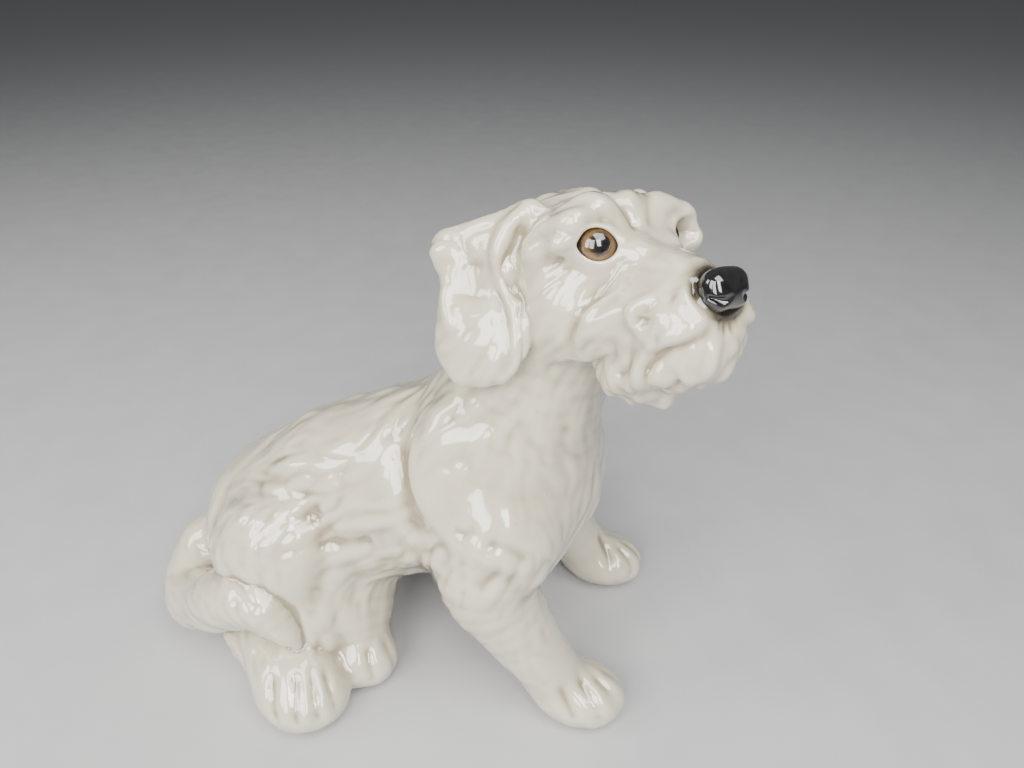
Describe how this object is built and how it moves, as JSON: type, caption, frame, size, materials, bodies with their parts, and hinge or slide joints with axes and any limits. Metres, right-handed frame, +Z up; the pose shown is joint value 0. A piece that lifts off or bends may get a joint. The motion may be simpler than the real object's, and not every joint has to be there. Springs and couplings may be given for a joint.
{
  "type": "ceramic dog figurine",
  "caption": "Seated shaggy puppy figurine in glossy cream-white glazed earthenware, head turned and raised, with painted amber eyes and a black nose, for standing on a shelf.",
  "frame": {"origin": "on the table under the middle of the figure's bounding box", "axes": "+Z up, the chest faces -Y and the tail end is +Y, the dog's right side is -X"},
  "size_m": [0.1656, 0.2783, 0.2469],
  "materials": {
    "glaze": "glossy cream-white glaze over earthenware",
    "seam_glaze": "glossy cream-white glaze pooled in a seam",
    "iris": "glossy amber underglaze paint",
    "pupil": "glossy black underglaze paint",
    "nose_black": "glossy black underglaze paint"
  },
  "bodies": {
    "root": {"torso": "glaze", "head": "glaze", "ear_left": "glaze", "ear_right": "glaze", "foreleg_left": "glaze", "foreleg_right": "glaze", "hindleg_left": "glaze", "hindleg_right": "glaze", "tail": "glaze", "eye_left": "iris", "eye_right": "iris", "pupil_left": "pupil", "pupil_right": "pupil", "nose": "nose_black", "neck_slip": "seam_glaze", "ear_slip_left": "seam_glaze", "ear_slip_right": "seam_glaze", "foreleg_slip_left": "seam_glaze", "foreleg_slip_right": "seam_glaze", "hindleg_slip_left": "seam_glaze", "hindleg_slip_right": "seam_glaze", "tail_slip": "seam_glaze"}
  },
  "joints": []
}
